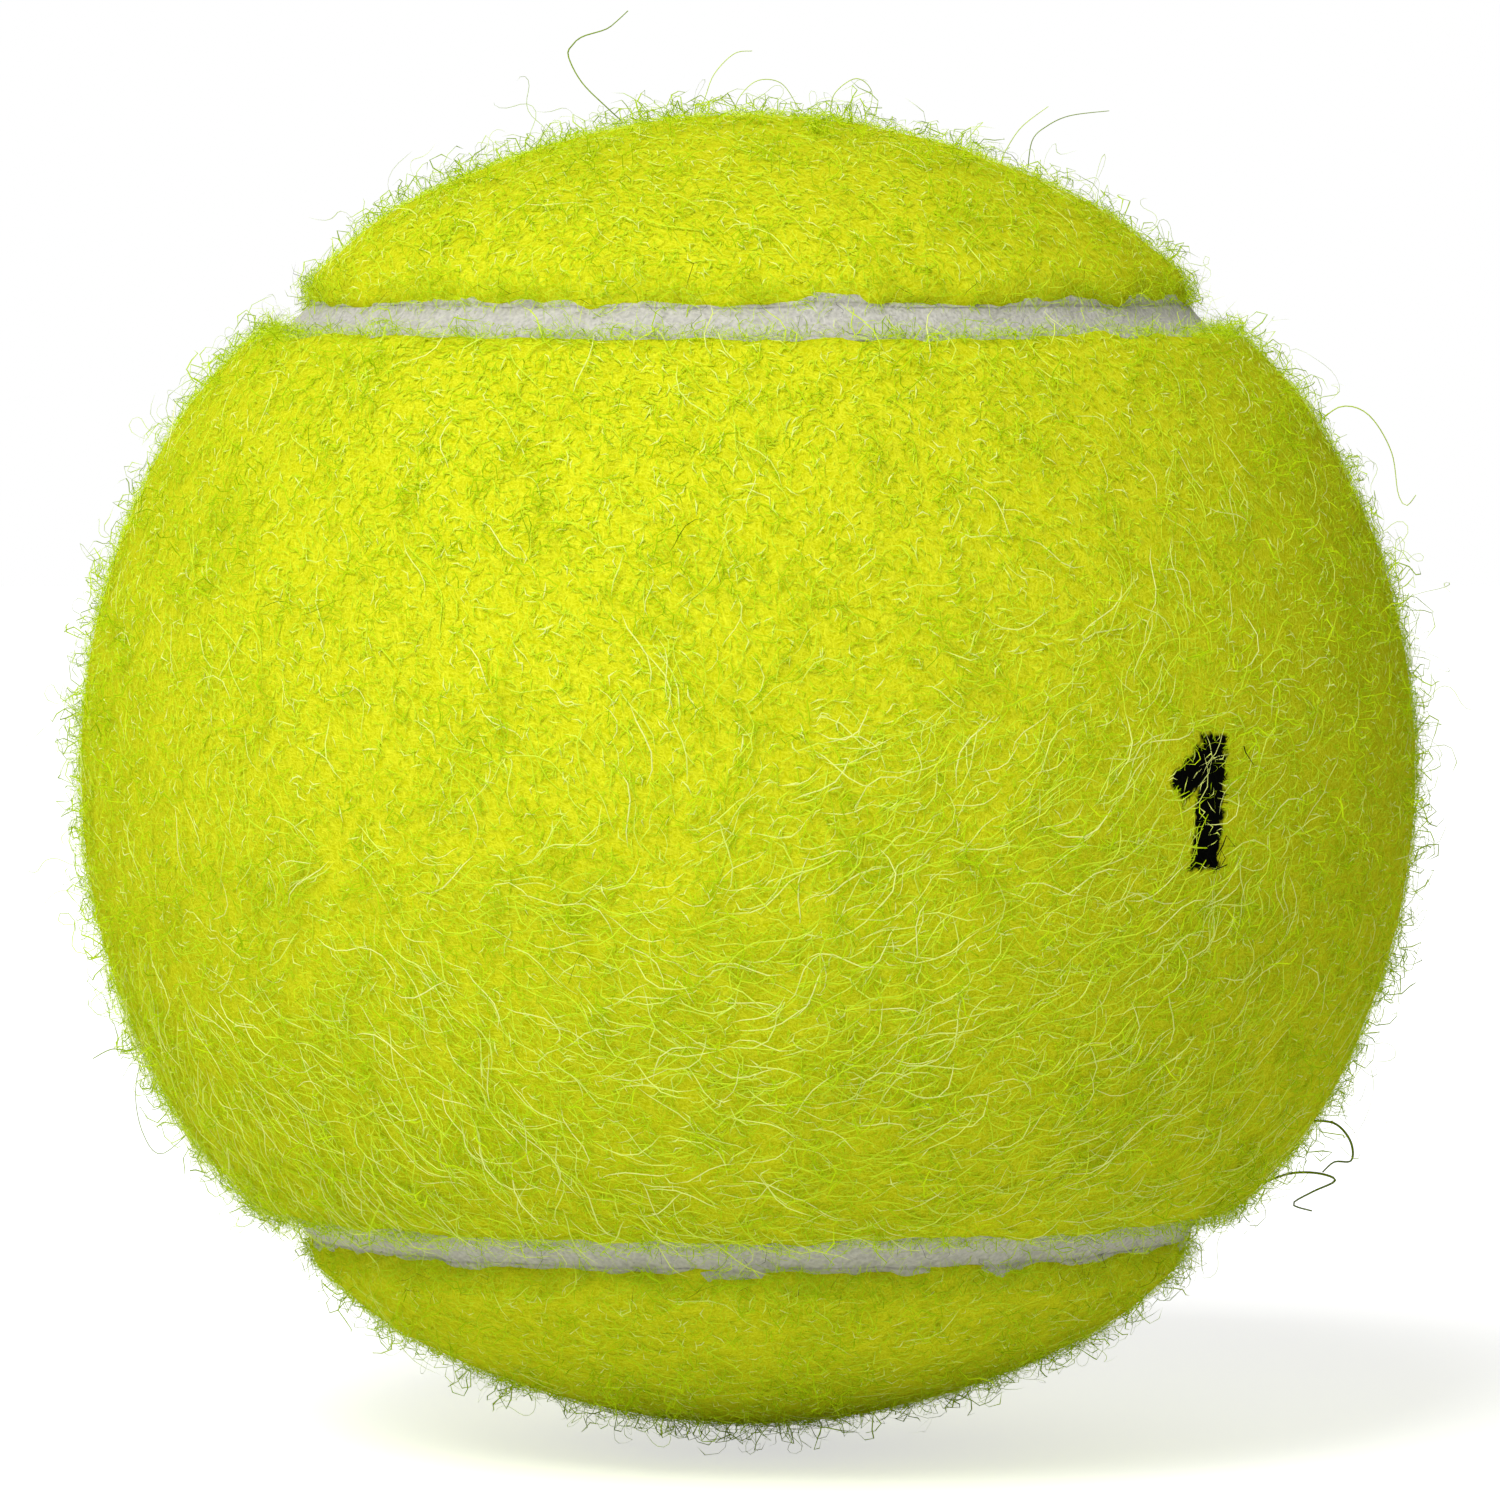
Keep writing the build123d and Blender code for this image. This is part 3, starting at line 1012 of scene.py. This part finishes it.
# %% Kinds of fibre
panel_area = 6.6e-3
usual = dict(pieces=1, below=0.0, tufted=0.0, spread=180, inked=0.0)
kinds = {
    "nap": dict(
        shapes=nap_shapes, pieces=3, count=18000, facing=(0.78, 2), lift=0.12,
        length=(0.35, 0.9), lean=(-4, 10), spread=80, roll=15, shade=(0.32, 0.78), inked=2.0,
    ),
    # Painted highlight: pale fibres that stand in for glints.
    "glint": dict(
        shapes=nap_shapes, count=7000, facing=(0.8, 2), lift=0.2,
        length=(0.5, 1.0), lean=(-2, 8), spread=70, roll=15, shade=(0.85, 0.97),
    ),
    "tangle": dict(
        shapes=tangle_shapes, count=6500, below=0.75, facing=(0.85, 2), lift=0.3,
        length=(1.2, 2.4), lean=(-3, 6), spread=70, roll=15, shade=(0.2, 0.9), inked=0.85,
    ),
    "long": dict(
        shapes=long_shapes, count=9600, below=0.9, facing=(0.88, 2), lift=0.4,
        length=(1.8, 4.2), lean=(-2, 4), spread=36, roll=15, shade=(0.6, 1.0), inked=0.9,
    ),
    # Partly painted shade: the darkest fringe fibres are olive, for the shade inside tufts at the outline.
    "fringe": dict(
        shapes=curl_shapes, count=6700, facing=(0.7, 2), lift=0.2, tufted=1.0,
        length=(1.1, 3.1), lean=(5, 58), roll=50, shade=(0.091, 0.45), inked=0.4,
    ),
    "wisp": dict(
        shapes=stray_shapes, count=780, facing=(0.8, 2), lift=0.2, tufted=0.8,
        length=(1.8, 4.5), lean=(5, 48), roll=90, shade=(0.15, 0.5),
    ),
    "stray": dict(
        shapes=stray_shapes, count=90, facing=(0.8, 2), lift=0.2,
        length=(3.0, 7.0), lean=(5, 40), roll=90, shade=(0.08, 0.6),
    ),
    "edge": dict(
        shapes=tangle_shapes, count=110000, facing=(0.25, 0.8), lift=0.12,
        length=(0.7, 1.5), lean=(0, 42), roll=20, shade=(0.25, 0.8),
    ),
    "crossing": dict(
        shapes=fringe_shapes, count=90000, facing=(0.4, 0.85), lift=0.1,
        length=(1.0, 2.4), lean=(0, 45), roll=60, shade=(0.2, 0.9),
    ),
    "lip": dict(
        shapes=curl_shapes, count=20000, facing=(0.45, 0.9), lift=0.1, tufted=0.6,
        length=(0.8, 1.9), lean=(15, 65), roll=60, shade=(0.095, 0.6),
    ),
    "seam_hair": dict(
        shapes=fringe_shapes, count=9000, facing=(0.4, 0.85), lift=0.1,
        length=(1.2, 2.2), lean=(0, 40), roll=60, shade=(0.045, 0.075),
    ),
    "hair": dict(
        shapes=long_shapes, count=30, facing=(0.5, 2), lift=0.4,
        length=(1.6, 3.0), lean=(0, 12), roll=60, shade=(0.06, 0.08),
    ),
}
print(f"{len(kinds)} kinds of fibre")

# %% Grow every kind of fibre on both panels
fibres = {front_felt: [], back_felt: []}
seed = 100
degree = math.radians(1)
for panel, grown_on in fibres.items():
    side = panel.name.removesuffix("_felt")
    for kind, special in kinds.items():
        k = usual | special
        values = {
            "Shapes": k["shapes"],
            "Per Square Metre": k["count"] / panel_area,
            "More Below": k["below"],
            "Tufted": k["tufted"],
            "Lift": k["lift"] * mm,
            "Spread": k["spread"] * degree,
            "Roll": k["roll"] * degree,
            "Inked Up To": k["inked"],
            "Finish": fibre,
        }
        for label, unit in (("Facing", 1), ("Length", mm), ("Lean", degree), ("Shade", 1)):
            least, most = k[label.lower()]
            values |= {f"Least {label}": least * unit, f"Most {label}": most * unit}
        for i in range(k["pieces"]):
            seed += 1
            bed = show("bed", panel.data.copy())
            run_tree(bed, fibre_tree, values | {"Seed": seed})
            piece = settled(bed, f"{side}_{kind}_{i + 1}", ("shade", "along", "around"))
            grown_on.append(piece)
            triangles = sum(len(p.vertices) - 2 for p in piece.data.polygons)
            print(f"{piece.name}: {triangles} triangles")
for shapes in (nap_shapes, tangle_shapes, long_shapes, fringe_shapes, curl_shapes, stray_shapes):
    for shape in list(shapes.objects):
        bpy.data.objects.remove(shape)
    bpy.data.collections.remove(shapes)

# %% [markdown]
# ## Strands that stand out
#
# A few strands stand so far off the outline that the eye knows them one by one: a crooked
# olive one on top, pale loops beside it, and dark curls low on the right. They were
# measured in the picture as places right of and above the ball's middle, in millimetres.
# They stand in the plane of the outline, sway a little to the front and back of it, and each
# starts inside the nap. A tree eases each line into a curve and sweeps a thin strand along
# it that tapers to its tip.

# %% Strand tree
strand_tree, given = new_tree("lay strands", {"Steps": "Int"}, ("Tip Share",))
add = partial(add_node, strand_tree)
line = add("GeometryNodeMeshToCurve", given["Geometry"])
eased = add("GeometryNodeCurveSplineType", {"Curve": line}, spline_type="CATMULL_ROM")
even = add("GeometryNodeResampleCurve", {"Curve": eased, "Count": given["Steps"]})
part_way = add("GeometryNodeSplineParameter")
marked = add("GeometryNodeStoreNamedAttribute", {"Geometry": even, "Name": "along", "Value": part_way})
taper = add(
    "ShaderNodeMapRange",
    {"Value": part_way, "From Min": 0.5, "To Min": 1.0, "To Max": given["Tip Share"]},
)
girth, along, own_shade = [
    add("GeometryNodeInputNamedAttribute", {"Name": name})
    for name in ("girth", "along", "shade")
]
width = add("ShaderNodeMath", girth, taper, operation="MULTIPLY")
ring = add("GeometryNodeCurvePrimitiveCircle", {"Resolution": 4, "Radius": 0.5})
strand = add(
    "GeometryNodeCurveToMesh",
    {"Curve": marked, "Profile Curve": ring, "Scale": width, "Fill Caps": True},
)
end_fibres(strand_tree, strand, along, own_shade, given)

# %% Lay the strands
olive, dark_olive, lemon = 0.086, 0.076, 0.5
strands = {
    back_felt: [
        (olive, 0.075, [(-6.4, 32.5), (-7.0, 33.0), (-8.3, 34.3), (-9.0, 35.7), (-8.8, 36.3),
                        (-8.3, 36.7), (-7.1, 37.0), (-6.5, 37.4), (-6.0, 37.9)]),
        (lemon, 0.05, [(-2.7, 32.5), (-2.2, 33.4), (-1.7, 34.7), (-0.7, 35.8), (0.2, 36.0)]),
        (lemon, 0.045, [(-0.8, 32.6), (-0.4, 33.6), (0.5, 34.4), (1.7, 34.3), (2.6, 33.0)]),
        (lemon, 0.045, [(4.1, 32.5), (4.3, 33.7), (5.4, 34.5), (6.2, 33.9), (6.0, 32.7)]),
        (olive, 0.05, [(14.0, 30.0), (14.2, 31.4), (14.9, 32.1), (16.1, 32.7), (18.1, 33.0)]),
        (lemon, 0.05, [(12.7, 30.6), (13.6, 32.0), (15.0, 33.1)]),
    ],
    front_felt: [
        (lemon, 0.06, [(28.3, 17.1), (29.6, 18.1), (31.0, 17.7), (32.2, 15.9), (32.6, 13.8),
                       (33.0, 13.2), (33.4, 13.7)]),
        (dark_olive, 0.12, [(28.0, -17.6), (29.3, -17.7), (30.1, -18.6), (30.2, -19.6),
                             (29.4, -19.7), (28.8, -20.2)]),
        (dark_olive, 0.12, [(25.8, -20.7), (27.1, -20.2), (28.5, -20.2), (29.4, -20.6),
                             (28.3, -21.2), (27.3, -21.8), (28.2, -22.1)]),
        (olive, 0.045, [(-29.5, -13.8), (-30.2, -14.3), (-30.6, -16.2), (-30.3, -18.2),
                        (-29.4, -19.3), (-27.6, -17.8)]),
        (olive, 0.06, [(-29.4, -13.0), (-30.8, -14.0), (-31.8, -14.0), (-32.8, -14.5)]),
    ],
}
picture_up = Vector((0, math.sin(camera_elevation), math.cos(camera_elevation)))
outline_forward = to_camera * ball_radius**2 / camera_distance
strand_sway, sway_step = 0.8 * mm, 1.1
for panel, lines in strands.items():
    points = []
    edges = []
    carried = {"shade": [], "girth": []}
    for shade, thickness, spots in lines:
        edges += [(len(points) + i, len(points) + i + 1) for i in range(len(spots) - 1)]
        for i, (right, up) in enumerate(spots):
            in_plane = Vector((right * mm, 0, 0)) + picture_up * up * mm
            sway = to_camera * math.sin(sway_step * i) * strand_sway
            points.append(in_plane + outline_forward + sway)
        carried["shade"] += [shade] * len(spots)
        carried["girth"] += [thickness * mm] * len(spots)
    path_mesh = bpy.data.meshes.new("strand_path")
    path_mesh.from_pydata(points, edges, [])
    store(path_mesh, carried)
    path_piece = show("strand_path", path_mesh)
    run_tree(path_piece, strand_tree, {"Steps": 30, "Tip Share": 0.7, "Finish": fibre})
    name = panel.name.replace("felt", "strands")
    piece = settled(path_piece, name, ("shade", "girth", "along"))
    face_outwards(piece.data)
    fibres[panel].append(piece)
    print(f"{name}: {len(lines)} strands, {len(piece.data.polygons)} faces")

# %% [markdown]
# ## Hand over
#
# Everything rides on the ball's one body. The felt panels stand for their solids, and so
# does the seam. Each felt panel was cut flat before it was stretched on.

# %% Hand over
replaced = {front_felt: "felt_panel_front", back_felt: "felt_panel_back", seam: "seam_strip"}
for piece, node in replaced.items():
    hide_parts(node)
    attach(piece, "root")
for panel, grown_on in fibres.items():
    for piece in grown_on:
        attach(piece, "root")
